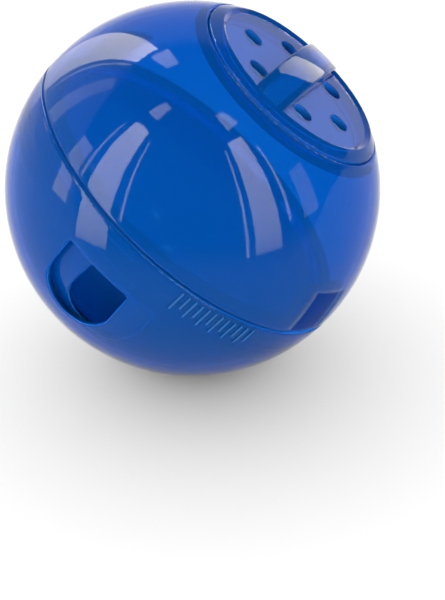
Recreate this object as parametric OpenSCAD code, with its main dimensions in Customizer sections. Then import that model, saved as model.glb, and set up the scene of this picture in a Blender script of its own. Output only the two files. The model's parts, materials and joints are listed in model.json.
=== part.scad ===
// Cat treat ball: two clear half shells, a shutter cup that turns inside the lower one, and a filler cap.
// The upper shell and the cup turn together, so a twist slides the cup's window across the shell's.
// Units are millimetres. The origin is the ball's centre, +Z is up, and the twist axis leans towards +X.

/* [Ball] */
// Outside diameter of the ball
ball_d = 76.2; // [70:0.1:90]
// Wall of the two half shells
shell_wall = 1.6; // [1.4:0.1:2]
// Gap between the rims of the two half shells
seam_gap = 0.4; // [0.3:0.05:0.6]
// Chamfer on the outer edge of each rim
seam_chamfer = 0.35; // [0.2:0.05:0.6]
// Lean of the twist axis from upright, as the ball lies on a floor
lean = 39.5; // [0:0.5:60]
// Turn of the treat window about the twist axis, as the ball lies on a floor
lie_turn = -25.3; // [-90:0.1:90]

/* [Treat windows] */
// Width of a treat window, which is also the diameter of its round end
window_w = 15.6; // [12:0.1:18]
// Depth of a window's round end below the seam
window_low = 25.6; // [24:0.1:29]
// Number of treat windows round the ball
window_count = 1; // [1:1:2]
// Turn of the upper half from fully open, as it rests
shutter_turn = 10.3; // [0:0.1:30]
// Turn of the upper half from fully open to shut
full_turn = 30.3; // [28:0.1:36]

/* [Twist coupling] */
// Height of the thick band below the seam, where the bore is straight
band_h = 9.8; // [9:0.1:12]
// Running gap between the lower shell and the cup
run_gap = 0.3; // [0.25:0.05:0.4]
// Gap between pieces that are pressed or snapped together
fit_gap = 0.05; // [0.03:0.01:0.1]
// Wall of the shutter cup
cup_wall = 1.4; // [1.2:0.1:1.8]
// Thickness of the cup's flange, which lies over the lower shell's rim
flange_t = 1.4; // [1.2:0.1:2]
// Depth of the retaining bead below the seam
bead_drop = 6.6; // [6:0.1:7]
// Radius of the retaining bead's round section
bead_r = 0.8; // [0.7:0.05:1]
// Height of the retaining bead above the collar
bead_h = 0.65; // [0.55:0.05:0.7]
// Length of a stop lug below the seam
stop_drop = 3; // [2.5:0.1:4]
// Depth of the pocket that a stop lug runs in
stop_depth = 1.2; // [1:0.1:1.4]
// Angle that a stop lug takes up round the collar
stop_span = 8; // [5:0.5:12]
// Spare angle at each end of the stop pocket
stop_gap = 0.8; // [0.5:0.1:1.5]

/* [Coupling tabs] */
// Height of a tab's top above the seam
tab_h = 10.6; // [9:0.1:13]
// Angle that a tab takes up round the ball
tab_span = 18; // [14:1:30]
// Thickness of a tab
tab_wall = 1.5; // [1.2:0.1:1.8]
// Angle from the cup's window to the next tab
tab_turn = 61; // [50:0.5:90]
// Drop from a tab's top to its snap ridge
ridge_drop = 3; // [2.5:0.1:4]
// Radius of the snap ridge's round section
ridge_r = 0.7; // [0.6:0.05:0.9]
// Height of the snap ridge above the tab
ridge_h = 0.35; // [0.25:0.05:0.45]
// Width of the ribs in the upper shell that hold a tab on both sides
rib_w = 1.2; // [1:0.1:2]
// Height of those ribs above the shell's inner face
rib_h = 1.3; // [1:0.1:1.5]
// Depth of the grip pad in the outer face over each tab
pad_depth = 0.4; // [0.2:0.05:0.5]

/* [Scale] */
// Number of marks on the twist scale
mark_count = 12; // [6:1:14]
// Angle from one mark to the next
mark_pitch = 2.45; // [2:0.05:3]
// Angle from the treat window to the first mark
mark_turn = 23; // [20:0.5:30]
// Width of a mark
mark_w = 0.45; // [0.35:0.05:0.6]
// Height of a mark above the ball
mark_h = 0.25; // [0.15:0.05:0.4]
// Distance of the marks' upper ends below the seam
mark_top = 1; // [0.8:0.1:1.5]
// Length of the odd marks
mark_long = 4.7; // [4:0.1:6]
// Length of the even marks
mark_short = 3.5; // [2.5:0.1:3.9]

/* [Filler cap] */
// Diameter of the cap, at the line where it meets the upper shell
cap_d = 42.4; // [40:0.1:46]
// Gap round the cap at that line
cap_gap = 0.15; // [0.1:0.05:0.3]
// Radius of the round groove along that line
groove_r = 0.35; // [0.25:0.05:0.5]
// Thickness of the cap's rim at its edge
cap_rim_t = 1.4; // [1.2:0.1:2]
// Gap between the cap's rim and its seat
seat_gap = 0.1; // [0.05:0.05:0.2]
// Width of the seat that the cap's rim rests on
seat_w = 1.7; // [1.4:0.1:2]
// Radial gap between the cap's plug and the neck
plug_gap = 0.1; // [0.05:0.05:0.2]
// Wall of the cap's plug
plug_wall = 1.5; // [1.2:0.1:2]
// Length of the plug below the seat
plug_h = 2.4; // [2:0.1:3]
// Wall of the neck outside the seat
neck_wall = 1.2; // [1:0.1:1.6]
// Length of the neck below the seat
neck_h = 1.6; // [1.5:0.1:2.4]
// Width of the round lip round the cap's dish
lip_w = 2.2; // [1.8:0.1:2.6]
// Run of the sloped wall from the lip to the floor of the dish
lip_run = 1; // [0.6:0.1:1.4]
// Depth of the dish below the lip
dish_depth = 0.62; // [0.4:0.02:1]
// Thickness of the dish's floor
floor_t = 1.5; // [1.2:0.1:1.8]
// Width of the grip bar across the dish
bar_w = 7.2; // [6:0.1:7.6]
// Wall of the hollow grip bar
bar_wall = 1.5; // [1.2:0.1:1.8]
// Number of vent holes in the dish
vent_count = 6; // [4:2:6]
// Diameter of a vent hole
vent_d = 4.2; // [3.4:0.1:4.6]
// Diameter of the circle that the vent holes lie on
vent_circle_d = 23.8; // [23.2:0.1:25]

/* [Hidden] */
$fn = 96;
clear_blue = [0.02, 0.2, 0.68, 0.6];
eps = 0.2;
over = 2;
ball_r = ball_d / 2;
inner_r = ball_r - shell_wall;
half_gap = seam_gap / 2;
// The straight bore meets the round inner face at the band's lower edge.
bore_r = sqrt(pow(inner_r, 2) - pow(band_h, 2));
cup_r = inner_r - run_gap;
collar_r = bore_r - run_gap;
flange_z = run_gap - half_gap;
flange_top = flange_z + flange_t;
flange_r = sqrt(pow(inner_r, 2) - pow(flange_top, 2)) - fit_gap;
tab_r = inner_r - fit_gap;
ridge_z = tab_h - ridge_drop;
ridge_lift = asin(ridge_z / tab_r);
stop_r = bore_r + stop_depth;
rib_span = rib_w / inner_r * 180 / PI;
rib_turn = tab_span / 2 + (fit_gap / inner_r) * 180 / PI;
window_step = 360 / window_count;
window_round_z = window_w / 2 - window_low;
tab_step = 180;
// The stop lugs stand a quarter turn from the tabs.
stop_turn = tab_turn + 90;
front = -90;
cap_r = cap_d / 2;
cap_edge_z = sqrt(pow(ball_r, 2) - pow(cap_r, 2));
seat_z = cap_edge_z - cap_rim_t;
port_r = cap_r - seat_w;
neck_r = cap_r + cap_gap + neck_wall;
plug_r = port_r - plug_gap;
plug_in_r = plug_r - plug_wall;
lip_r = cap_r - lip_w;
lip_z = sqrt(pow(ball_r, 2) - pow(lip_r, 2));
dish_z = lip_z - dish_depth;
vent_step = 360 / vent_count;

// Lays the ball down as it rests: the twist axis leans towards +X and the window faces its way.
module laid() {
    rotate([0, lean, 0])
        rotate([0, 0, lie_turn])
            children();
}

// Sweeps a profile round the twist axis, by the given angle to each side of a direction.
module arc(direction, half_angle) {
    rotate([0, 0, direction - half_angle])
        rotate_extrude(angle = 2 * half_angle)
            children();
}

// Half of a round section, between two heights.
module half_disc(radius, low, high) {
    intersection() {
        circle(radius);
        translate([0, low])
            square([radius + over, high - low]);
    }
}

// Treat windows: a straight upper edge on the band, straight sides and a round lower end.
module windows() {
    for (i = [0 : window_count - 1])
        rotate([0, 0, i * window_step])
            rotate([90, 0, 0])
                linear_extrude(ball_r + over) {
                    translate([-window_w / 2, window_round_z])
                        square([window_w, -band_h - window_round_z]);
                    translate([0, window_round_z])
                        circle(d = window_w);
                }
}

// Round ridge on the collar that snaps into the lower shell's groove, grown by a gap for the groove.
module bead_profile(gap) {
    translate([collar_r + bead_h - bead_r, -bead_drop])
        circle(bead_r + gap);
}

// Round ridge near a tab's top that snaps into the upper shell, grown by a gap for its groove.
module ridge_profile(gap) {
    rotate(ridge_lift)
        translate([tab_r + ridge_h - ridge_r, 0])
            circle(ridge_r + gap);
}

// Thin raised marks beside the seam, long and short in turn.
module scale_marks() {
    for (i = [0 : mark_count - 1]) {
        length = i % 2 == 0 ? mark_long : mark_short;
        rotate([0, 0, front + mark_turn + i * mark_pitch])
            intersection() {
                difference() {
                    sphere(ball_r + mark_h);
                    sphere(ball_r - eps);
                }
                translate([0, -mark_w / 2, -mark_top - length])
                    cube([ball_r + over, mark_w, length]);
            }
    }
}

// Lower half of the ball: thick straight-bored band, round bowl, window, groove, stop pockets and scale.
module lower_shell() {
    color(clear_blue) laid() {
        difference() {
            rotate_extrude()
                difference() {
                    half_disc(ball_r, -ball_r, -half_gap);
                    intersection() {
                        circle(inner_r);
                        translate([0, -ball_r])
                            square([bore_r, ball_d]);
                    }
                    bead_profile(run_gap);
                    polygon([
                        [ball_r - seam_chamfer, -half_gap],
                        [ball_r + eps, -half_gap - seam_chamfer - eps],
                        [ball_r + eps, -half_gap]
                    ]);
                }
            windows();
            for (i = [0 : 1])
                arc(
                    front + stop_turn + full_turn / 2 + i * tab_step,
                    (full_turn + stop_span) / 2 + stop_gap
                )
                    translate([bore_r - eps, -stop_drop - run_gap])
                        square([stop_depth + eps, stop_drop + over]);
        }
        scale_marks();
    }
}

// One coupling tab of the cup, with its snap ridge.
module tab(direction) {
    arc(direction, tab_span / 2)
        union() {
            difference() {
                half_disc(tab_r, flange_top - eps, tab_h);
                circle(tab_r - tab_wall);
            }
            ridge_profile(0);
        }
}

// Shutter cup: round bowl with the same window, straight collar with bead and stops, flange and tabs.
module shutter_cup() {
    color(clear_blue) laid() rotate([0, 0, shutter_turn]) {
        difference() {
            rotate_extrude()
                difference() {
                    union() {
                        intersection() {
                            circle(cup_r);
                            translate([0, -ball_r])
                                square([collar_r, ball_r + flange_z]);
                        }
                        translate([0, flange_z])
                            square([flange_r, flange_t]);
                        bead_profile(0);
                    }
                    intersection() {
                        circle(cup_r - cup_wall);
                        translate([0, -ball_r])
                            square([collar_r - cup_wall, ball_d]);
                    }
                }
            windows();
        }
        for (i = [0 : 1]) {
            tab(front + tab_turn + i * tab_step);
            arc(front + stop_turn + i * tab_step, stop_span / 2)
                translate([collar_r - eps, -stop_drop])
                    square([stop_r - run_gap - collar_r + eps, stop_drop + flange_z + eps]);
        }
    }
}

// Upper half of the ball: round wall, thick neck with a seat for the cap, tab ribs and grip pads.
module upper_shell() {
    color(clear_blue) laid() rotate([0, 0, shutter_turn]) {
        difference() {
            rotate_extrude()
                difference() {
                    half_disc(ball_r, half_gap, ball_r);
                    difference() {
                        circle(inner_r);
                        translate([0, seat_z - neck_h])
                            square([neck_r, ball_r]);
                    }
                    square([port_r, ball_r + over]);
                    translate([0, seat_z])
                        square([cap_r + cap_gap, ball_r]);
                    translate([cap_r + cap_gap / 2, cap_edge_z])
                        circle(groove_r);
                    polygon([
                        [ball_r - seam_chamfer, half_gap],
                        [ball_r + eps, half_gap + seam_chamfer + eps],
                        [ball_r + eps, half_gap]
                    ]);
                }
            for (i = [0 : 1]) {
                arc(front + tab_turn + i * tab_step, tab_span / 2)
                    ridge_profile(fit_gap);
                arc(front + tab_turn + i * tab_step, tab_span / 2)
                    difference() {
                        half_disc(ball_r + over, -over, tab_h);
                        circle(ball_r - pad_depth);
                    }
            }
        }
        for (i = [0 : 1], side = [-1, 1])
            arc(front + tab_turn + i * tab_step + side * (rib_turn + rib_span / 2), rib_span / 2)
                difference() {
                    half_disc(inner_r + eps, flange_top + fit_gap, tab_h);
                    circle(inner_r - rib_h);
                }
    }
}

// Filler cap: round lip, sunk dish with vent holes, hollow grip bar flush with the ball, and a plug.
module filler_cap() {
    color(clear_blue) laid()
        difference() {
            union() {
                rotate_extrude()
                    difference() {
                        intersection() {
                            half_disc(ball_r, seat_z + seat_gap, ball_r);
                            square([cap_r, ball_r]);
                        }
                        square([plug_in_r, dish_z - floor_t]);
                        translate([cap_r + cap_gap / 2, cap_edge_z])
                            circle(groove_r);
                    }
                rotate_extrude()
                    translate([plug_in_r, seat_z - plug_h])
                        square([plug_wall, plug_h + cap_rim_t]);
            }
            difference() {
                rotate_extrude()
                    polygon([
                        [0, dish_z],
                        [lip_r - lip_run, dish_z],
                        [lip_r, lip_z],
                        [lip_r, ball_r + over],
                        [0, ball_r + over]
                    ]);
                translate([-bar_w / 2, -ball_r, 0])
                    cube([bar_w, ball_d, ball_d]);
            }
            intersection() {
                sphere(ball_r - bar_wall);
                cylinder(ball_r, r = plug_in_r);
                translate([bar_wall - bar_w / 2, -ball_r, seat_z])
                    cube([bar_w - 2 * bar_wall, ball_d, ball_r]);
            }
            for (i = [0 : vent_count - 1])
                rotate([0, 0, (i + 0.5) * vent_step + front])
                    translate([vent_circle_d / 2, 0, seat_z])
                        cylinder(ball_r, d = vent_d);
        }
}

lower_shell();
shutter_cup();
upper_shell();
filler_cap();
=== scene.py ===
"""Cat treat ball: clear blue half shells, a twist shutter cup inside the lower one, and a vented filler cap.

A piece is drawn as a half section about the twist axis, spun into a solid, cut, joined and rounded, and then
laid down as the ball rests. Lengths are metres and angles are radians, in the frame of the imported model.
"""

import json
import math
from types import SimpleNamespace

import bmesh
import bpy
from bpy.props import FloatProperty, FloatVectorProperty, IntProperty, PointerProperty
from mathutils import Matrix, Vector


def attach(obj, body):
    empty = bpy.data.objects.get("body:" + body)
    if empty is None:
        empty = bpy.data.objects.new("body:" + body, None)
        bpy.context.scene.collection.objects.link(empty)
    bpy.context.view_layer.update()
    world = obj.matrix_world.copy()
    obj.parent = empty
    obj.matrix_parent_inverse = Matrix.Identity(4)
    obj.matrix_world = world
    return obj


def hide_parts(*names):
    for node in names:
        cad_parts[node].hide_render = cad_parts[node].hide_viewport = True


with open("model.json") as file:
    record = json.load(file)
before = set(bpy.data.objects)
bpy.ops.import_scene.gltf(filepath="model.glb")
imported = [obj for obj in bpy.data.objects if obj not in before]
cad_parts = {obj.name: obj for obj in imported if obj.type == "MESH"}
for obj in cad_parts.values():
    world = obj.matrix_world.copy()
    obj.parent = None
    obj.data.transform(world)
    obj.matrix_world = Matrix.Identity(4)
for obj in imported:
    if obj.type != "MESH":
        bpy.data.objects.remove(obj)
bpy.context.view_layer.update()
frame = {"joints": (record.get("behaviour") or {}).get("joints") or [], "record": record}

bl_info = {
    "name": "Cat treat ball",
    "version": (1, 0, 0),
    "blender": (4, 5, 0),
    "location": "View3D > Sidebar > Treat ball",
    "description": "Models a clear treat ball with a twist shutter and a filler cap around its packed frame",
    "category": "Object",
}

MM = 0.001
DEGREE = math.pi / 180
# Steps of a full spin, one for each degree, of a vent hole and of a rounded corner
SPIN_STEPS = 360
VENT_STEPS = 64
CORNER_STEPS = 4
# Vertices closer than this are the same one
MERGE_GAP = 0.002 * MM
# Slack by which cutting shapes run past what they cut, and joined shapes run into each other
OVER = 1.5 * MM
CLEAR = 5 * MM
BITE = 0.2 * MM
# Depth of the grip bar's top below the ball, so that the two surfaces don't coincide where they meet
BAR_SINK = 0.02 * MM
# Turn of a flared edge, which stops short of lying flat on the face that it meets
FLARE = 70 * DEGREE
# Edges sharper than this stay crisp
CRISP = 38 * DEGREE
# Share of a face's normal along the normal of the broad face beside it, at which a narrow edge starts
# and at which it is a narrow edge altogether
BROAD = 0.75
NARROW = 0.35

TWIST = next(joint for joint in frame["joints"] if joint["name"] == "shutter_twist")
TWIST_AXIS = Vector(TWIST["axis"]).normalized()
FLOOR_REST = next(mount for mount in frame["record"]["mounts"] if mount["name"] == "floor_rest")
BALL_R = -FLOOR_REST["pos_m"][2]
LEAN = math.atan2(TWIST_AXIS.x, TWIST_AXIS.z)
# Face attribute of the narrow edges, which are rougher and scatter more light than the broad faces: a
# painted glow that stands in for the light that clear plastic carries into its edges, grooves and holes
NARROW_EDGE = "narrow_edge"
# Direction of the treat window about the twist axis, before the ball is laid down
FRONT = -90 * DEGREE
HALF_TURN = math.pi


def length(name, description, millimetres):
    """A length that a user can change, given in millimetres."""
    return FloatProperty(
        name=name, description=description, default=millimetres * MM, unit="LENGTH", precision=5,
    )


def angle(name, description, degrees):
    """An angle that a user can change, given in degrees."""
    return FloatProperty(name=name, description=description, default=degrees * DEGREE, subtype="ANGLE")


def share(name, description, default):
    """A plain number from 0 to 1 that a user can change."""
    return FloatProperty(
        name=name, description=description, default=default, min=0, max=1, subtype="FACTOR",
    )


def number(name, description, default, low=0):
    """A plain number that a user can change."""
    return FloatProperty(name=name, description=description, default=default, min=low)


def count(name, description, default):
    """A number of like features that a user can change."""
    return IntProperty(name=name, description=description, default=default, min=2)


def colour(name, description, default):
    """A colour that a user can change."""
    return FloatVectorProperty(
        name=name, description=description, default=default, size=3, min=0, max=1, subtype="COLOR",
    )


class TreatBallSizes(bpy.types.PropertyGroup):
    """Sizes of the four pieces."""

    wall: length("Shell wall", "Wall of the two half shells", 1.6)
    seam_gap: length("Seam gap", "Gap between the rims of the half shells", 0.4)
    rim_round: length("Rim rounding", "Rounding of each rim's outer edge", 0.5)
    edge_round: length("Edge rounding", "Rounding of the moulded inner edges", 0.25)
    lie_turn: angle("Lie", "Turn of the treat window about the twist axis, as the ball lies", -25.3)
    gate_r: length("Gate radius", "Radius of the moulding mark at the lower pole", 1.3)
    gate_depth: length("Gate depth", "Depth of the moulding mark at the lower pole", 0.3)

    window_w: length("Window width", "Width of the treat window", 15.6)
    window_low: length("Window depth", "Depth of the window's round end below the seam", 25.6)
    window_corner: length("Window corner", "Rounding of the window's upper corners", 0.8)
    window_lip: length("Window lip", "Rounding of the window's edges", 0.4)

    band_h: length("Band height", "Height of the thick band below the seam", 9.8)
    run_gap: length("Running gap", "Gap between the lower shell and the cup", 0.3)
    fit_gap: length("Fit gap", "Gap between snapped pieces", 0.05)
    cup_wall: length("Cup wall", "Wall of the shutter cup", 1.4)
    flange_t: length("Flange", "Thickness of the cup's flange", 1.4)
    bead_drop: length("Bead drop", "Depth of the retaining bead below the seam", 6.6)
    bead_r: length("Bead radius", "Radius of the retaining bead's round section", 0.8)
    bead_h: length("Bead height", "Height of the retaining bead above the collar", 0.65)
    stop_drop: length("Stop length", "Length of a stop lug below the seam", 3)
    stop_depth: length("Stop depth", "Depth of the pocket that a stop lug runs in", 1.2)
    stop_span: angle("Stop span", "Angle that a stop lug takes up", 8)
    stop_gap: angle("Stop gap", "Spare angle at each end of a stop pocket", 0.8)

    tab_h: length("Tab height", "Height of a coupling tab above the seam", 10.6)
    tab_span: angle("Tab span", "Angle that a coupling tab takes up", 18)
    tab_wall: length("Tab wall", "Thickness of a coupling tab", 1.5)
    tab_turn: angle("Tab turn", "Angle from the cup's window to the next tab", 61)
    ridge_drop: length("Ridge drop", "Drop from a tab's top to its snap ridge", 3)
    ridge_r: length("Ridge radius", "Radius of the snap ridge's round section", 0.7)
    ridge_h: length("Ridge height", "Height of the snap ridge above the tab", 0.35)
    rib_w: length("Rib width", "Width of the ribs that hold a tab", 1.2)
    rib_h: length("Rib height", "Height of those ribs above the shell", 1.3)
    pad_depth: length("Pad depth", "Depth of the grip pad over each tab", 0.4)
    pad_slope: length("Pad slope", "Run of the slope above a grip pad", 0.6)
    pad_side: length("Pad side", "Run of the slope at each side of a grip pad", 2)

    mark_count: count("Marks", "Number of marks on the twist scale", 12)
    mark_pitch: angle("Mark pitch", "Angle from one mark to the next", 2.45)
    mark_turn: angle("Mark turn", "Angle from the treat window to the first mark", 23)
    mark_w: length("Mark width", "Width of a mark", 0.45)
    mark_h: length("Mark height", "Height of a mark above the ball", 0.25)
    mark_top: length("Mark top", "Distance of the marks' upper ends below the seam", 1)
    mark_long: length("Long mark", "Length of the odd marks", 4.7)
    mark_short: length("Short mark", "Length of the even marks", 3.5)

    cap_r: length("Cap radius", "Radius of the cap where it meets the shell", 21.2)
    cap_gap: length("Cap gap", "Gap round the cap", 0.15)
    cap_round: length("Cap edge", "Rounding of the groove round the cap", 0.4)
    cap_rim_t: length("Cap rim", "Thickness of the cap's rim at its edge", 1.4)
    seat_gap: length("Seat gap", "Gap between the cap's rim and its seat", 0.1)
    seat_w: length("Seat width", "Width of the seat under the cap's rim", 1.7)
    plug_gap: length("Plug gap", "Gap between the plug and the neck", 0.1)
    plug_wall: length("Plug wall", "Wall of the cap's plug", 1.5)
    plug_h: length("Plug length", "Length of the plug below the seat", 2.4)
    neck_h: length("Neck length", "Length of the neck below the seat", 1.6)
    lip_w: length("Lip width", "Width of the round lip round the dish", 2.2)
    lip_run: length("Lip slope", "Run of the slope from the lip to the dish", 1)
    dish_depth: length("Dish depth", "Depth of the dish below the lip", 0.62)
    floor_t: length("Dish floor", "Thickness of the dish's floor", 1.5)
    bar_w: length("Bar width", "Width of the grip bar", 7.2)
    bar_wall: length("Bar wall", "Wall of the hollow grip bar", 1.5)
    bar_round: length("Bar edge", "Rounding of the grip bar's upper edges", 0.45)
    vent_count: count("Vents", "Number of vent holes in the dish", 6)
    vent_d: length("Vent", "Diameter of a vent hole", 4.2)
    vent_circle_d: length("Vent circle", "Diameter of the circle that the vents lie on", 23.8)


class TreatBallFinish(bpy.types.PropertyGroup):
    """Colours and gloss of the clear plastic."""

    tint: colour("Tint", "Colour that light keeps on its way through the plastic", (0, 0.66, 0.91))
    depth: number("Depth", "How fast the plastic takes up light, for each metre", 1700)
    bend: number("Bend", "Index of refraction of the plastic", 1.3, low=1)
    milk: colour("Milk", "Colour that the plastic scatters back", (0, 0.188, 0.85))
    pad_milk: colour("Pad milk", "Colour that the grip pads scatter back", (0, 0.06, 0.42))
    mark_milk: colour("Mark milk", "Colour that the raised marks scatter back", (0.06, 0.25, 0.66))
    # Painted glow on the narrow edges: this milk stands in for the light that clear plastic carries into its
    # edges, grooves and holes
    painted_edge_glow: colour("Edge milk", "Colour that the narrow edges scatter back", (0.01, 0.22, 1))
    milkiness: share("Milkiness", "How much of the light the outer skin scatters", 0.5)
    # Share of that painted glow on the narrow edges, in place of light carried through the plastic
    painted_edge_glow_share: share("Edge milkiness", "How much of the light the narrow edges scatter", 0.95)
    glow: share("Glow", "How much of the scattered light goes on through the skin", 0.45)
    print_milkiness: share("Print milkiness", "How much of the light the marks and grip pads scatter", 0.92)
    gloss: share("Gloss", "Roughness of clean polished plastic", 0.025)
    inside_gloss: share("Inside gloss", "Roughness of the inner faces", 0.1)
    smudge: share("Smudges", "Roughness that handling adds", 0.06)
    stipple: share("Stipple", "Roughness of the grip pads", 0.35)
    skin: length("Skin", "Thickness of the milky skin on the outer faces", 1.3)
    wave: length("Waviness", "Depth of the slight waves in the moulded faces", 0.05)


class TreatBallStage(bpy.types.PropertyGroup):
    """Camera and light."""

    camera_reach: length("Camera distance", "Distance of the camera from the ball's centre", 457.2)
    camera_rise: angle("Camera height", "Angle of the camera above the floor", 31.5)
    lens: number("Lens", "Focal length on a 36 mm sensor, in millimetres", 134.7, low=1)
    aim_right: length("Aim right", "How far right of the ball's centre the camera looks", 5.88)
    aim_down: length("Aim down", "How far below the ball's centre the camera looks", 22.66)
    panel_reach: length("Panel distance", "Distance of the light panels from the ball's centre", 220)
    panel_colour: colour("Panel colour", "Colour of the panels' light", (1, 0.88, 0.6))
    panel_light: number("Panel light", "Brightness of the panels, where 1 is white", 25)
    room_light: number("Room light", "Brightness of the light from all round", 2.95)


def worked_out(size):
    """Sizes that follow from those that a user sets."""
    plan = SimpleNamespace()
    plan.inner_r = BALL_R - size.wall
    plan.half_gap = size.seam_gap / 2
    plan.bore_r = on_ball(size.band_h, plan.inner_r)
    plan.cup_r = plan.inner_r - size.run_gap
    plan.cup_inner_r = plan.cup_r - size.cup_wall
    plan.collar_r = plan.bore_r - size.run_gap
    plan.collar_inner_r = plan.collar_r - size.cup_wall
    plan.flange_z = size.run_gap - plan.half_gap
    plan.flange_top = plan.flange_z + size.flange_t
    plan.flange_r = on_ball(plan.flange_top, plan.inner_r) - size.fit_gap
    plan.bead_centre = (plan.collar_r + size.bead_h - size.bead_r, -size.bead_drop)
    plan.tab_r = plan.inner_r - size.fit_gap
    plan.ridge_z = size.tab_h - size.ridge_drop
    plan.stop_r = plan.bore_r + size.stop_depth
    plan.stop_turn = size.tab_turn + 90 * DEGREE
    plan.cap_edge_z = on_ball(size.cap_r)
    plan.seat_z = plan.cap_edge_z - size.cap_rim_t
    plan.port_r = size.cap_r - size.seat_w
    plan.recess_r = size.cap_r + size.cap_gap
    plan.neck_low = plan.seat_z - size.neck_h
    plan.plug_r = plan.port_r - size.plug_gap
    plan.plug_in_r = plan.plug_r - size.plug_wall
    plan.plug_low = plan.seat_z - size.plug_h
    plan.lip_r = size.cap_r - size.lip_w
    plan.lip_z = on_ball(plan.lip_r)
    plan.dish_z = plan.lip_z - size.dish_depth
    plan.dish_r = plan.lip_r - size.lip_run
    plan.shutter_turn = -TWIST["range_deg"][0] * DEGREE
    plan.full_turn = (TWIST["range_deg"][1] - TWIST["range_deg"][0]) * DEGREE
    return plan


def settings(context):
    """The sizes that a user sets, those that follow from them, and the finish."""
    size = context.scene.treat_ball_sizes
    return size, worked_out(size), context.scene.treat_ball_finish


def on_ball(distance, radius=BALL_R):
    """Height of a ball's surface at a distance from its axis, or the other way round."""
    return math.sqrt(radius ** 2 - distance ** 2)


def round_stretch(centre, radius, start, end, steps):
    """Points along a round stretch of a section, from one angle to another."""
    turn = (end - start) / steps
    return [
        (centre[0] + radius * math.cos(start + i * turn), centre[1] + radius * math.sin(start + i * turn))
        for i in range(steps + 1)
    ]


def ball_stretch(radius, low, high, steps):
    """Points of a section along a ball about the origin, from one height to another."""
    return round_stretch((0, 0), radius, math.asin(low / radius), math.asin(high / radius), steps)


def softened(corners):
    """Rounds each corner of a section that is given as (across, up, radius); the other points stay."""
    points = []
    for i, corner in enumerate(corners):
        here = Vector(corner[:2])
        if len(corner) == 2:
            points.append(tuple(here))
            continue
        back = (Vector(corners[i - 1][:2]) - here).normalized()
        on = (Vector(corners[(i + 1) % len(corners)][:2]) - here).normalized()
        half = back.angle(on) / 2
        reach = corner[2] / math.tan(half)
        centre = here + (back + on).normalized() * corner[2] / math.sin(half)
        first = here + back * reach - centre
        last = here + on * reach - centre
        start = math.atan2(first.y, first.x)
        sweep = math.atan2(first.x * last.y - first.y * last.x, first.dot(last))
        points += round_stretch(centre, corner[2], start, start + sweep, CORNER_STEPS)
    return points


def deselect():
    """Leaves edit mode and selects nothing."""
    if bpy.context.object and bpy.context.object.mode != "OBJECT":
        bpy.ops.object.mode_set(mode="OBJECT")
    bpy.ops.object.select_all(action="DESELECT")


def only(piece):
    """Selects one object alone and makes it active."""
    deselect()
    piece.select_set(True)
    bpy.context.view_layer.objects.active = piece


def bare_ring(points):
    """Adds a ring of as many vertices as there are points, without a face."""
    bpy.ops.mesh.primitive_circle_add(
        vertices=len(points), radius=BALL_R, fill_type="NOTHING", location=(0, 0, 0),
    )


def add_ring(piece, points):
    """Adds a ring of vertices to a piece in edit mode and puts them on the points."""
    bpy.ops.mesh.select_all(action="DESELECT")
    bare_ring(points)
    shape = bmesh.from_edit_mesh(piece.data)
    ring = [vert for vert in shape.verts if vert.select]
    for vert, point in zip(ring, points):
        vert.co = point
    bmesh.update_edit_mesh(piece.data)


def drawn(name, points, closed):
    """A new object in edit mode that holds a line through points."""
    deselect()
    bare_ring(points)
    piece = bpy.context.object
    piece.name = name
    for vert, point in zip(piece.data.vertices, points):
        vert.co = point
    bpy.ops.object.mode_set(mode="EDIT")
    if not closed:
        bpy.ops.mesh.select_mode(type="EDGE")
        bpy.ops.mesh.select_all(action="DESELECT")
        shape = bmesh.from_edit_mesh(piece.data)
        shape.verts.ensure_lookup_table()
        shape.edges.get((shape.verts[0], shape.verts[-1])).select_set(True)
        bpy.ops.mesh.delete(type="EDGE")
        bpy.ops.mesh.select_mode(type="VERT")
    bpy.ops.mesh.select_all(action="SELECT")
    return piece


def spun(name, section, closed, start=0.0, steps=SPIN_STEPS):
    """Spins a half section round the twist axis into a solid."""
    piece = drawn(name, [(x * math.cos(start), x * math.sin(start), z) for x, z in section], closed)
    bpy.ops.object.mode_set(mode="OBJECT")
    step = piece.modifiers.new("Turn on the lathe", "SCREW")
    step.steps = steps
    step.render_steps = steps
    step.use_merge_vertices = True
    step.merge_threshold = MERGE_GAP
    bpy.ops.object.modifier_apply(modifier=step.name)
    bpy.ops.object.mode_set(mode="EDIT")
    bpy.ops.mesh.select_all(action="SELECT")
    bpy.ops.mesh.remove_doubles(threshold=MERGE_GAP)
    bpy.ops.mesh.normals_make_consistent(inside=False)
    bpy.ops.object.mode_set(mode="OBJECT")
    return piece


def swept(name, section, direction, span, edge_round=0.0):
    """Sweeps a closed section part of the way round the twist axis, and rounds its two ends."""
    start = direction - span / 2
    piece = drawn(name, [(x * math.cos(start), x * math.sin(start), z) for x, z in section], True)
    steps = max(2, round(span / DEGREE))
    bpy.ops.mesh.spin(steps=steps, angle=-span, center=(0, 0, 0), axis=(0, 0, 1))
    close_ends(edge_round)
    bpy.ops.object.mode_set(mode="OBJECT")
    return piece


def close_ends(edge_round=0.0):
    """Closes the two open ends of a swept shape with flat faces, and rounds the edges there."""
    bpy.ops.mesh.select_mode(type="EDGE")
    bpy.ops.mesh.select_all(action="DESELECT")
    bpy.ops.mesh.select_non_manifold()
    bpy.ops.mesh.fill_holes(sides=0)
    bpy.ops.mesh.select_all(action="SELECT")
    bpy.ops.mesh.normals_make_consistent(inside=False)
    if edge_round:
        # Only the end faces have more than four corners.
        shape = bmesh.from_edit_mesh(bpy.context.object.data)
        for edge in shape.edges:
            edge.select_set(any(len(face.verts) > 4 for face in edge.link_faces))
        bpy.ops.mesh.bevel(offset=edge_round, segments=2, affect="EDGES")
    bpy.ops.mesh.select_mode(type="VERT")


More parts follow.
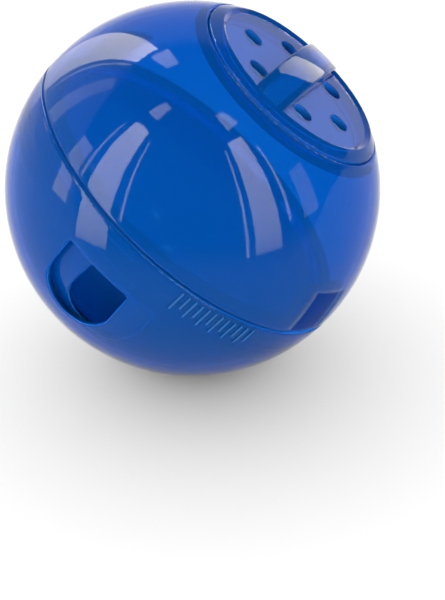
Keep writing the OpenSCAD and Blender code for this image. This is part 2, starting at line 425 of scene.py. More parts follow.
def lofted(name, rings):
    """A solid through closed rings that have the same number of points, with flat ends."""
    piece = drawn(name, rings[0], True)
    around = len(rings[0])
    for i, ring in enumerate(rings[1:]):
        add_ring(piece, ring)
        shape = bmesh.from_edit_mesh(piece.data)
        shape.verts.ensure_lookup_table()
        for vert in shape.verts[i * around:(i + 2) * around]:
            vert.select_set(True)
        shape.select_flush_mode()
        bpy.ops.mesh.bridge_edge_loops()
    close_ends()
    bpy.ops.object.mode_set(mode="OBJECT")
    return piece


def turned_copy(piece, turn):
    """A copy of a piece with its own mesh, turned about the twist axis."""
    only(piece)
    bpy.ops.object.duplicate(linked=False)
    copy = bpy.context.object
    copy.data.transform(Matrix.Rotation(turn, 4, "Z"))
    return copy


def joined(pieces):
    """Puts separate shapes into one object."""
    only(pieces[0])
    for piece in pieces:
        piece.select_set(True)
    bpy.ops.object.join()
    return bpy.context.object


def combined(piece, tool, operation):
    """Cuts a tool from a piece, or melts it into the piece, and throws the tool away."""
    only(piece)
    step = piece.modifiers.new(operation.title(), "BOOLEAN")
    step.operation = operation
    step.solver = "MANIFOLD"
    step.object = tool
    bpy.ops.object.modifier_apply(modifier=step.name)
    bpy.data.meshes.remove(tool.data)


def set_down(piece, size, turn, node, body):
    """Lays a finished piece as the ball rests, smooths it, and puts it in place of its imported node."""
    only(piece)
    piece.matrix_world = Matrix.Rotation(LEAN, 4, "Y") @ Matrix.Rotation(size.lie_turn + turn, 4, "Z")
    bpy.ops.object.transform_apply(location=True, rotation=True, scale=True)
    bpy.ops.object.shade_smooth_by_angle(angle=CRISP)
    step = piece.modifiers.new("Even shading", "WEIGHTED_NORMAL")
    step.keep_sharp = True
    bpy.ops.object.modifier_apply(modifier=step.name)
    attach(piece, body)
    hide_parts(node)


def mark_narrow_edges(piece, regions):
    """Marks faces in some regions as narrow edges, the more the further they turn from the broad face; the
    mark carries their roughness and their painted glow.
    """
    marks = piece.data.attributes.new(NARROW_EDGE, "FLOAT", "FACE")
    for face in piece.data.polygons:
        for region in regions:
            broad = region(face.center)
            if broad:
                along = abs(face.normal.dot(broad))
                marks.data[face.index].value = min(1, max(0, (BROAD - along) / (BROAD - NARROW)))


def window_region(size):
    """Faces round a treat window, where the broad face is the ball."""
    half = size.window_w / 2 + size.window_lip
    low = -size.window_low - size.window_lip
    high = -size.band_h + size.window_lip
    return lambda place: (
        place.normalized() if abs(place.x) < half and place.y < 0 and low < place.z < high else None
    )


def seam_region(size, plan):
    """Faces in the seam between the half shells, where the broad face is the ball."""
    reach = plan.half_gap + size.rim_round
    return lambda place: place.normalized() if abs(place.z) < reach and place.length > plan.bore_r else None


def groove_region(size, plan):
    """Faces in the groove round the cap, where the broad face is the ball."""
    inner = size.cap_r - size.cap_round
    outer = plan.recess_r + size.cap_round
    low = plan.seat_z + size.seat_gap
    return lambda place: place.normalized() if inner < place.xy.length < outer and place.z > low else None


def vent_region(size, plan):
    """Faces in the vent holes, where the broad face is the flat dish."""
    hole = size.vent_d / 2 + size.edge_round
    step = 2 * math.pi / size.vent_count

    def region(place):
        around = (math.atan2(place.y, place.x) - FRONT) % step - step / 2
        middle = Vector((math.cos(around), math.sin(around))) * place.xy.length
        middle.x -= size.vent_circle_d / 2
        within = plan.dish_z - size.floor_t <= place.z <= plan.dish_z and middle.length < hole
        return Vector((0, 0, 1)) if within else None

    return region


def window_outline(size, grow):
    """Outline of a treat window from the front, grown all round: flat top, straight sides, round end."""
    half = size.window_w / 2 + grow
    top = -size.band_h + grow
    low = size.window_w / 2 - size.window_low
    corner = size.window_corner + grow
    side_steps = 12
    sides = [low + (top - corner - low) * i / side_steps for i in range(side_steps)]
    right = [(half, z) for z in sides]
    left = [(-half, z) for z in reversed(sides)]
    top_steps = 20
    flat = [(half - corner) * (1 - 2 * i / top_steps) for i in range(1, top_steps)]
    end_steps = 48
    return (
        right
        + round_stretch((half - corner, top - corner), corner, 0, math.pi / 2, CORNER_STEPS)
        + [(x, top) for x in flat]
        + round_stretch((corner - half, top - corner), corner, math.pi / 2, math.pi, CORNER_STEPS)
        + left
        + round_stretch((0, low), half, math.pi, 2 * math.pi, end_steps)[1:-1]
    )


def flare_angles():
    """Angles along a flared edge."""
    return [i / CORNER_STEPS * FLARE for i in range(CORNER_STEPS + 1)]


def window_cutter(size, inner, outer):
    """Cutter for the treat window through a wall between two ball radii, flared to leave round edges."""
    lip = size.window_lip
    flare = [(lip * (1 - math.cos(swing)), lip * (math.sin(swing) - 1)) for swing in flare_angles()]
    across, rise = flare[-1]
    flare.append((across + OVER * math.sin(FLARE), rise + OVER * math.cos(FLARE)))
    levels = [(grow, inner - rise) for grow, rise in reversed(flare)]
    levels += [(grow, outer + rise) for grow, rise in flare]
    levels.append((levels[-1][0], outer + CLEAR))
    rings = [
        [(x, -math.sqrt(radius ** 2 - x ** 2 - z ** 2), z) for x, z in window_outline(size, grow)]
        for grow, radius in levels
    ]
    return lofted("window cutter", rings)


def lower_section(size, plan):
    """Half section of the lower shell: bowl, thick band with a straight bore, bead groove, moulding mark."""
    gate_z = -BALL_R + size.gate_depth
    gate_edge = size.gate_r + size.gate_depth
    bowl_low = -on_ball(gate_edge + size.edge_round * 2)
    bowl_high = -2 * size.rim_round - plan.half_gap
    groove_r = size.bead_r + size.run_gap
    mouth = math.acos((plan.bore_r - plan.bead_centre[0]) / groove_r)
    outside_steps = 84
    groove_steps = 10
    inside_steps = 72
    return softened(
        [
            (0, gate_z),
            (size.gate_r, gate_z, size.edge_round / 2),
            (gate_edge, -on_ball(gate_edge), size.edge_round / 2),
        ]
        + ball_stretch(BALL_R, bowl_low, bowl_high, outside_steps)
        + [
            (on_ball(plan.half_gap), -plan.half_gap, size.rim_round),
            (plan.bore_r, -plan.half_gap, size.edge_round),
        ]
        + round_stretch(plan.bead_centre, groove_r, mouth, -mouth, groove_steps)
        + ball_stretch(plan.inner_r, -size.band_h, -plan.inner_r, inside_steps)
    )


def stop_pockets(size, plan):
    """Cutter for the two pockets that the cup's stop lugs run in."""
    span = plan.full_turn + size.stop_span + 2 * size.stop_gap
    low = -size.stop_drop - size.run_gap
    inner = plan.bore_r - BITE
    section = [(inner, low), (plan.stop_r, low), (plan.stop_r, OVER), (inner, OVER)]
    first = FRONT + plan.stop_turn + plan.full_turn / 2
    return joined([swept("stop pocket", section, first + i * HALF_TURN, span) for i in range(2)])


def scale_marks(size):
    """The raised marks of the twist scale, long and short in turn, with soft edges."""
    marks = []
    for i in range(size.mark_count):
        mark_l = size.mark_short if i % 2 else size.mark_long
        middle = -size.mark_top - mark_l / 2
        deselect()
        bpy.ops.mesh.primitive_cube_add(size=1, location=(0, 0, 0))
        mark = bpy.context.object
        mark.scale = (2 * size.mark_h + 2 * BITE, size.mark_w, mark_l)
        bpy.ops.object.transform_apply(location=True, rotation=True, scale=True)
        bpy.ops.object.mode_set(mode="EDIT")
        bpy.ops.mesh.select_all(action="SELECT")
        bpy.ops.mesh.bevel(offset=size.mark_w / 3, segments=3, affect="EDGES")
        bpy.ops.object.mode_set(mode="OBJECT")
        tilt = math.asin(middle / BALL_R)
        mark.data.transform(
            Matrix.Rotation(FRONT + size.mark_turn + i * size.mark_pitch, 4, "Z")
            @ Matrix.Rotation(-tilt, 4, "Y")
            @ Matrix.Translation((BALL_R - BITE, 0, 0))
        )
        marks.append(mark)
    return joined(marks)


def cup_section(size, plan):
    """Half section of the shutter cup: round bowl, straight collar with its bead, and flange."""
    mouth = math.acos((plan.collar_r - plan.bead_centre[0]) / size.bead_r)
    collar_low = -on_ball(plan.collar_r, plan.cup_r)
    inner_low = -on_ball(plan.collar_inner_r, plan.cup_inner_r)
    bowl_steps = 72
    bead_steps = 8
    return softened(
        ball_stretch(plan.cup_r, -plan.cup_r, collar_low, bowl_steps)
        + round_stretch(plan.bead_centre, size.bead_r, -mouth, mouth, bead_steps)
        + [
            (plan.collar_r, plan.flange_z, size.edge_round),
            (plan.flange_r, plan.flange_z, size.edge_round),
            (plan.flange_r, plan.flange_top, size.edge_round),
            (plan.collar_inner_r, plan.flange_top, size.edge_round),
        ]
        + ball_stretch(plan.cup_inner_r, inner_low, -plan.cup_inner_r, bowl_steps)
    )


def ridge_point(size, plan, extra=0.0):
    """Centre of the snap ridge's round section, and its radius with some extra."""
    lift = math.asin(plan.ridge_z / plan.tab_r)
    reach = plan.tab_r + size.ridge_h - size.ridge_r
    return (reach * math.cos(lift), reach * math.sin(lift)), size.ridge_r + extra


def tab_section(size, plan):
    """Section of a coupling tab, with its snap ridge."""
    low = plan.flange_top - BITE
    high = size.tab_h - 2 * size.edge_round
    inner = plan.tab_r - size.tab_wall
    centre, radius = ridge_point(size, plan)
    lift = math.asin(plan.ridge_z / plan.tab_r)
    swing = 65 * DEGREE
    low_steps = 6
    ridge_steps = 6
    high_steps = 2
    inside_steps = 10
    return softened(
        ball_stretch(plan.tab_r, low, plan.ridge_z - size.ridge_r, low_steps)
        + round_stretch(centre, radius, lift - swing, lift + swing, ridge_steps)
        + ball_stretch(plan.tab_r, plan.ridge_z + size.ridge_r, high, high_steps)
        + [(on_ball(size.tab_h, plan.tab_r), size.tab_h, size.edge_round)]
        + [(on_ball(size.tab_h, inner), size.tab_h, size.edge_round)]
        + ball_stretch(inner, high, low, inside_steps)
    )


def cup_tabs_and_stops(size, plan):
    """The cup's two coupling tabs and two stop lugs."""
    lug = [
        (plan.collar_r - BITE, -size.stop_drop),
        (plan.stop_r - size.run_gap, -size.stop_drop),
        (plan.stop_r - size.run_gap, plan.flange_z + BITE),
        (plan.collar_r - BITE, plan.flange_z + BITE),
    ]
    parts = []
    for i in range(2):
        tab_direction = FRONT + size.tab_turn + i * HALF_TURN
        parts.append(swept("tab", tab_section(size, plan), tab_direction, size.tab_span, size.edge_round))
        parts.append(swept("stop lug", lug, FRONT + plan.stop_turn + i * HALF_TURN, size.stop_span))
    return joined(parts)


def upper_section(size, plan):
    """Half section of the upper shell: round wall, groove and seat for the cap, flat neck."""
    mouth_z = on_ball(plan.recess_r)
    neck_r = on_ball(plan.neck_low, plan.inner_r)
    rim_high = 2 * size.rim_round + plan.half_gap
    pad_low = size.tab_h - size.pad_slope / 2
    pad_high = size.tab_h + size.pad_slope / 2
    inside_low = 2 * size.edge_round + plan.half_gap
    inside_high = plan.neck_low - 2 * size.edge_round
    pad_steps = 14
    wall_steps = 38
    inside_steps = 50
    return softened(
        [(on_ball(plan.half_gap), plan.half_gap, size.rim_round)]
        + ball_stretch(BALL_R, rim_high, pad_low, pad_steps)
        + ball_stretch(BALL_R, pad_high, mouth_z - 2 * size.cap_round, wall_steps)
        + [
            (plan.recess_r, mouth_z, size.cap_round),
            (plan.recess_r, plan.seat_z, size.edge_round / 2),
            (plan.port_r, plan.seat_z, size.edge_round),
            (plan.port_r, plan.neck_low, size.edge_round),
            (neck_r, plan.neck_low, size.edge_round),
        ]
        + ball_stretch(plan.inner_r, inside_high, inside_low, inside_steps)
        + [(on_ball(plan.half_gap, plan.inner_r), plan.half_gap, size.edge_round / 2)]
    )


def ridge_grooves(size, plan):
    """Cutter for the grooves that the tabs' ridges snap into."""
    centre, radius = ridge_point(size, plan, size.fit_gap)
    round_steps = 24
    section = round_stretch(centre, radius, 0, 2 * math.pi, round_steps)[:-1]
    first = FRONT + size.tab_turn
    return joined([
        swept("ridge groove", section, first + i * HALF_TURN, size.tab_span) for i in range(2)
    ])


def tab_ribs(size, plan):
    """The ribs in the upper shell that hold each tab on both sides."""
    span = size.rib_w / plan.inner_r
    low = plan.flange_top + size.fit_gap
    steps = 8
    outer = ball_stretch(plan.inner_r + BITE, low, size.tab_h, steps)
    inner = ball_stretch(plan.inner_r - size.rib_h, size.tab_h, low, steps)
    aside = size.tab_span / 2 + (size.fit_gap + size.rib_w / 2) / plan.inner_r
    return joined([
        swept("rib", outer + inner, FRONT + size.tab_turn + i * HALF_TURN + side * aside, span)
        for i in range(2)
        for side in (-1, 1)
    ])


def press_in_pads(piece, size):
    """Presses the two grip pads into the upper shell, and gives their faces the second finish."""
    only(piece)
    bpy.ops.object.mode_set(mode="EDIT")
    bpy.ops.mesh.select_mode(type="VERT")
    steps = 3
    scale = 1 - size.pad_depth / steps / BALL_R
    for i in range(steps):
        reach = size.tab_span / 2 - i / steps * size.pad_side / BALL_R
        bpy.ops.mesh.select_all(action="DESELECT")
        shape = bmesh.from_edit_mesh(piece.data)
        for vert in shape.verts:
            around = math.atan2(vert.co.y, vert.co.x) - FRONT - size.tab_turn
            off = abs((around + HALF_TURN / 2) % HALF_TURN - HALF_TURN / 2)
            outside = vert.co.length > BALL_R - size.pad_depth
            vert.select_set(outside and off < reach and vert.co.z < size.tab_h)
        shape.select_flush_mode()
        bpy.ops.transform.resize(value=(scale, scale, scale), center_override=(0, 0, 0))
    shape = bmesh.from_edit_mesh(piece.data)
    for face in shape.faces:
        face.material_index = 1 if face.select else 0
    bmesh.update_edit_mesh(piece.data)
    bpy.ops.object.mode_set(mode="OBJECT")


def cap_section(size, plan):
    """Half section of the filler cap: sunk dish, sloped wall, round lip, rim and plug."""
    under = plan.dish_z - size.floor_t
    rim_low = plan.seat_z + size.seat_gap
    lip_high = plan.lip_z - size.edge_round
    lip_low = plan.cap_edge_z + 1.5 * size.cap_round
    plug_round = 1.5 * size.edge_round
    lip_steps = 6
    return softened(
        [
            (0, plan.dish_z),
            (plan.dish_r, plan.dish_z, size.edge_round),
            (plan.lip_r, plan.lip_z, size.edge_round),
        ]
        + ball_stretch(BALL_R, lip_high, lip_low, lip_steps)
        + [
            (size.cap_r, plan.cap_edge_z, size.cap_round),
            (size.cap_r, rim_low, size.edge_round / 2),
            (plan.plug_r, rim_low, size.edge_round / 2),
            (plan.plug_r, plan.plug_low, plug_round),
            (plan.plug_in_r, plan.plug_low, plug_round),
            (plan.plug_in_r, under, plug_round),
            (0, under),
        ]
    )


def bar_rings(reach, half, radius, low, edge_round, foot_z=0.0, foot=0.0):
    """Rings of a bar along the dish whose top lies on a ball, with round upper edges and any flared foot."""
    rings = []
    along_steps = 44
    across_steps = 10
    foot_steps = 4
    for i in range(along_steps + 1):
        along = reach * (2 * i / along_steps - 1)
        crown = []
        for j in range(across_steps + 1):
            x = (half - edge_round) * (1 - 2 * j / across_steps)
            crown.append((x, math.sqrt(radius ** 2 - along ** 2 - x ** 2)))
        shoulder = crown[0][1] - edge_round
        right = [(half, low)]
        if foot:
            right = [(half + foot, low), (half + foot, foot_z - foot / 4)]
            for k in range(1, foot_steps + 1):
                swing = k / foot_steps * math.pi / 2
                right.append((half + foot * (1 - math.sin(swing)), foot_z + foot * (1 - math.cos(swing))))
        right += round_stretch((half - edge_round, shoulder), edge_round, 0, math.pi / 2, CORNER_STEPS)[:-1]
        left = [(-x, z) for x, z in reversed(right)]
        rings.append([(x, along, z) for x, z in right + crown + left])
    return rings


def vent_cutter(size, plan):
    """Cutter for the vent holes, flared so that their edges come out round."""
    hole = size.vent_d / 2
    lip = size.edge_round
    under = plan.dish_z - size.floor_t
    wide = hole + lip + OVER
    section = [(0, under - OVER), (wide, under - OVER)]
    for swing in flare_angles():
        section.append((hole + lip * (1 - math.sin(swing)), under + lip * (1 - math.cos(swing))))
    for swing in flare_angles():
        section.append((hole + lip * (1 - math.cos(swing)), plan.dish_z - lip * (1 - math.sin(swing))))
    section += [(wide, plan.dish_z + OVER), (0, plan.dish_z + OVER)]
    vent = spun("vent cutter", section, closed=False, steps=VENT_STEPS)
    vent.data.transform(Matrix.Translation((size.vent_circle_d / 2, 0, 0)))
    step = 2 * math.pi / size.vent_count
    vents = [turned_copy(vent, FRONT + (i + 0.5) * step) for i in range(size.vent_count)]
    bpy.data.meshes.remove(vent.data)
    return joined(vents)


def node_in(tree, kind, **values):
    """A new shader node with some of its settings and plain input values set."""
    node = tree.nodes.new(kind)
    for key, value in values.items():
        if key in node.inputs:
            node.inputs[key].default_value = value
        else:
            setattr(node, key, value)
    return node


def ramp(tree, start, end, low, high, interpolation="SMOOTHSTEP"):
    """A node that turns a value from start to end into one from low to high."""
    node = node_in(tree, "ShaderNodeMapRange", interpolation_type=interpolation)
    for socket, value in zip(("From Min", "From Max", "To Min", "To Max"), (start, end, low, high)):
        node.inputs[socket].default_value = value
    return node


def wire(tree, links):
    """Links nodes, each link given as a node, its output, the next node and its input."""
    for node, output, next_node, entry in links:
        tree.links.new(node.outputs[output], next_node.inputs[entry])


def new_group(name, inputs, outputs):
    """A node group that takes a vector and some values and puts out values, with its two end nodes."""
    group = bpy.data.node_groups.new(name, "ShaderNodeTree")
    group.interface.new_socket("Vector", in_out="INPUT", socket_type="NodeSocketVector")
    for socket in inputs:
        group.interface.new_socket(socket, in_out="INPUT", socket_type="NodeSocketFloat")
    for socket in outputs:
        group.interface.new_socket(socket, in_out="OUTPUT", socket_type="NodeSocketFloat")
    return group, group.nodes.new("NodeGroupInput"), group.nodes.new("NodeGroupOutput")


def handled_gloss():
    """Node group of polished plastic that hands have held: roughness and a slight waviness."""
    name = "Handled gloss"
    if name in bpy.data.node_groups:
        return bpy.data.node_groups[name]
    group, into, out = new_group(name, ("Gloss", "Smudges"), ("Roughness", "Height"))
    prints = node_in(group, "ShaderNodeTexNoise", Scale=70, Detail=5, Roughness=0.62, Distortion=0.6)
    grip = ramp(group, 0.52, 0.72, 0, 1)
    amount = node_in(group, "ShaderNodeMath", operation="MULTIPLY")
    total = node_in(group, "ShaderNodeMath", operation="ADD")
    flow = node_in(group, "ShaderNodeTexNoise", Scale=38, Detail=1, Roughness=0.4)
    wire(group, (
        (into, "Vector", prints, "Vector"),
        (into, "Vector", flow, "Vector"),
        (prints, "Fac", grip, "Value"),
        (grip, "Result", amount, 0),
        (into, "Smudges", amount, 1),
        (into, "Gloss", total, 0),
        (amount, "Value", total, 1),
        (total, "Value", out, "Roughness"),
        (flow, "Fac", out, "Height"),
    ))
    return group


def outer_skin():
    """Node group that picks out the outer skin: outside a radius, or above a height on the twist axis."""
    name = "Outer skin"
    if name in bpy.data.node_groups:
        return bpy.data.node_groups[name]
    group, into, out = new_group(name, ("Radius", "Height"), ("Skin",))
    reach = node_in(group, "ShaderNodeVectorMath", operation="LENGTH")
    near = node_in(group, "ShaderNodeMath", operation="GREATER_THAN")
    rise = node_in(group, "ShaderNodeVectorMath", operation="DOT_PRODUCT")
    rise.inputs[1].default_value = TWIST_AXIS
    above = node_in(group, "ShaderNodeMath", operation="GREATER_THAN")
    either = node_in(group, "ShaderNodeMath", operation="MAXIMUM")
    wire(group, (
        (into, "Vector", reach, 0),
        (reach, "Value", near, 0),
        (into, "Radius", near, 1),
        (into, "Vector", rise, 0),
        (rise, "Value", above, 0),
        (into, "Height", above, 1),
        (near, "Value", either, 0),
        (above, "Value", either, 1),
        (either, "Value", out, "Skin"),
    ))
    return group


def clear_plastic(name, finish, gloss, milk, milkiness, outer_r, top=2 * BALL_R):
    """Tinted plastic with a polished, milky skin, smudges, faint waves, colour that deepens inside, and a
    painted glow on the narrow edges.
    """
    material = bpy.data.materials.new(name)
    material.use_nodes = True
    tree = material.node_tree
    tree.nodes.clear()
    place = tree.nodes.new("ShaderNodeTexCoord")
    handled = node_in(
        tree, "ShaderNodeGroup", node_tree=handled_gloss(), Gloss=gloss, Smudges=finish.smudge,
    )
    skin = node_in(
        tree, "ShaderNodeGroup", node_tree=outer_skin(),
        Radius=outer_r - finish.skin, Height=top - finish.skin,
    )
    edge = node_in(tree, "ShaderNodeAttribute", attribute_name=NARROW_EDGE)
    roughness = node_in(tree, "ShaderNodeMix", A=finish.inside_gloss)
    dulled = node_in(tree, "ShaderNodeMix", B=finish.stipple)
    bump = node_in(tree, "ShaderNodeBump", Strength=0.25, Distance=finish.wave)
    clear = node_in(tree, "ShaderNodeBsdfPrincipled", Metallic=0, IOR=finish.bend)
    clear.inputs["Base Color"].default_value = (1, 1, 1, 1)
    clear.inputs["Transmission Weight"].default_value = 1
    inside = node_in(
        tree, "ShaderNodeVolumeAbsorption", Color=(*finish.tint, 1), Density=finish.depth,
    )
    # The milk lies under the polish, so it fades where the polish mirrors. It leaves the light that
    # reaches the floor white.
    rays = tree.nodes.new("ShaderNodeLightPath")
    mirrored = node_in(tree, "ShaderNodeFresnel", IOR=finish.bend)
    # On the narrow edges the milk is brighter and denser and scatters back only: a painted glow in place of
    # the light that clear plastic carries into its edges, grooves and holes.
    milkiness_with_edge_glow = node_in(tree, "ShaderNodeMix", A=milkiness, B=finish.painted_edge_glow_share)
    under = node_in(tree, "ShaderNodeMath", operation="SUBTRACT")
    where = node_in(tree, "ShaderNodeMath", operation="MAXIMUM")
    lit = node_in(tree, "ShaderNodeMix", B=0)
    amount = node_in(tree, "ShaderNodeMath", operation="MULTIPLY", use_clamp=True)
    milk_and_edge_glow_colour = node_in(
        tree, "ShaderNodeMix", data_type="RGBA", A=(*milk, 1), B=(*finish.painted_edge_glow, 1),
    )
    back = tree.nodes.new("ShaderNodeBsdfDiffuse")
    onward = tree.nodes.new("ShaderNodeBsdfTranslucent")
    glow = node_in(tree, "ShaderNodeMix", A=finish.glow, B=0)
    milky = tree.nodes.new("ShaderNodeMixShader")
    surface = tree.nodes.new("ShaderNodeMixShader")
    out = tree.nodes.new("ShaderNodeOutputMaterial")
    wire(tree, (
        (place, "Object", handled, "Vector"),
        (place, "Object", skin, "Vector"),
        (skin, "Skin", roughness, "Factor"),
        (handled, "Roughness", roughness, "B"),
        (edge, "Fac", dulled, "Factor"),
        (roughness, "Result", dulled, "A"),
        (dulled, "Result", clear, "Roughness"),
        (handled, "Height", bump, "Height"),
        (bump, "Normal", clear, "Normal"),
        (edge, "Fac", milkiness_with_edge_glow, "Factor"),
        (milkiness_with_edge_glow, "Result", under, 0),
        (mirrored, "Fac", under, 1),
        (rays, "Is Diffuse Ray", lit, "Factor"),
        (under, "Value", lit, "A"),
        (lit, "Result", amount, 0),
        (skin, "Skin", where, 0),
        (edge, "Fac", where, 1),
        (where, "Value", amount, 1),
        (edge, "Fac", milk_and_edge_glow_colour, "Factor"),
        (milk_and_edge_glow_colour, "Result", back, "Color"),
        (milk_and_edge_glow_colour, "Result", onward, "Color"),
        (edge, "Fac", glow, "Factor"),
        (glow, "Result", milky, "Fac"),
        (back, "BSDF", milky, 1),
        (onward, "BSDF", milky, 2),
        (amount, "Value", surface, "Fac"),
        (clear, "BSDF", surface, 1),
        (milky, "Shader", surface, 2),
        (surface, "Shader", out, "Surface"),
        (inside, "Volume", out, "Volume"),
    ))
    return material


class TREATBALL_OT_lower_shell(bpy.types.Operator):
    """Models the lower half shell with its window, bore, stop pockets and twist scale"""

    bl_idname = "treat_ball.lower_shell"
    bl_label = "Lower shell"

    def execute(self, context):
        """Spins the section, cuts the window and pockets, and raises the scale."""
        size, plan, finish = settings(context)
        shell = spun("lower_half_shell", lower_section(size, plan), closed=False)
        shell.data.materials.append(
            clear_plastic("lower shell blue", finish, finish.gloss, finish.milk, finish.milkiness, BALL_R)
        )
        shell.data.materials.append(
            clear_plastic(
                "scale mark blue", finish, finish.gloss, finish.mark_milk, finish.print_milkiness, BALL_R,
            )
        )
        combined(shell, window_cutter(size, plan.inner_r, BALL_R), "DIFFERENCE")
        combined(shell, stop_pockets(size, plan), "DIFFERENCE")
        combined(shell, scale_marks(size), "UNION")
        for face in shell.data.polygons:
            face.material_index = 1 if face.center.length > BALL_R + size.mark_h / 4 else 0
        mark_narrow_edges(shell, (window_region(size), seam_region(size, plan)))
        set_down(shell, size, 0, "lower_shell", "lower_half")
        return {"FINISHED"}


class TREATBALL_OT_shutter_cup(bpy.types.Operator):
    """Models the shutter cup with its window, bead, flange, coupling tabs and stop lugs"""

    bl_idname = "treat_ball.shutter_cup"
    bl_label = "Shutter cup"

    def execute(self, context):
        """Spins the section, cuts the window, and adds the tabs and lugs."""
        size, plan, finish = settings(context)
        cup = spun("twist_shutter_cup", cup_section(size, plan), closed=False)
        cup.data.materials.append(
            clear_plastic("cup blue", finish, finish.gloss, finish.milk, finish.milkiness, plan.cup_r)
        )
        combined(cup, window_cutter(size, plan.cup_inner_r, plan.cup_r), "DIFFERENCE")
        combined(cup, cup_tabs_and_stops(size, plan), "UNION")
        mark_narrow_edges(cup, (window_region(size),))
        set_down(cup, size, plan.shutter_turn, "shutter_cup", "upper_half")
        return {"FINISHED"}


class TREATBALL_OT_upper_shell(bpy.types.Operator):
    """Models the upper half shell with its neck, cap seat, tab ribs and grip pads"""

    bl_idname = "treat_ball.upper_shell"
    bl_label = "Upper shell"

    def execute(self, context):
        """Spins the section, adds ribs and grooves, and presses in the grip pads."""
        size, plan, finish = settings(context)
        start = FRONT + size.tab_turn + math.pi / SPIN_STEPS
        shell = spun("upper_half_shell", upper_section(size, plan), closed=True, start=start)
        shell.data.materials.append(
            clear_plastic("upper shell blue", finish, finish.gloss, finish.milk, finish.milkiness, BALL_R)
        )
        shell.data.materials.append(
            clear_plastic(
                "grip pad blue", finish, finish.stipple, finish.pad_milk, finish.print_milkiness, BALL_R,
            )
        )
        combined(shell, ridge_grooves(size, plan), "DIFFERENCE")
        combined(shell, tab_ribs(size, plan), "UNION")
        press_in_pads(shell, size)
        mark_narrow_edges(shell, (seam_region(size, plan), groove_region(size, plan)))
        set_down(shell, size, plan.shutter_turn, "upper_shell", "upper_half")
        return {"FINISHED"}


class TREATBALL_OT_filler_cap(bpy.types.Operator):
    """Models the filler cap with its dish, vent holes, hollow grip bar and plug"""

    bl_idname = "treat_ball.filler_cap"
    bl_label = "Filler cap"

    def execute(self, context):
        """Spins the section, adds the grip bar, hollows it and cuts the vents."""
        size, plan, finish = settings(context)
        cap = spun("vented_filler_cap", cap_section(size, plan), closed=False)
        cap.data.materials.append(
            clear_plastic(
                "cap blue", finish, finish.gloss, finish.milk, finish.milkiness, BALL_R, plan.dish_z,
            )
        )
        bar = lofted("bar", bar_rings(
            plan.lip_r + BITE, size.bar_w / 2, BALL_R - BAR_SINK, plan.dish_z - size.floor_t / 2,
            size.bar_round, plan.dish_z, size.edge_round,
        ))
        combined(cap, bar, "UNION")
        half = size.bar_w / 2 - size.bar_wall
        reach = math.sqrt(plan.plug_in_r ** 2 - half ** 2)
        hollow = lofted("bar hollow", bar_rings(
            reach, half, BALL_R - size.bar_wall, plan.dish_z - size.floor_t - OVER, size.edge_round,
        ))
        combined(cap, hollow, "DIFFERENCE")
        combined(cap, vent_cutter(size, plan), "DIFFERENCE")
        mark_narrow_edges(cap, (vent_region(size, plan), groove_region(size, plan)))
        set_down(cap, size, 0, "filler_cap", "cap")
        return {"FINISHED"}


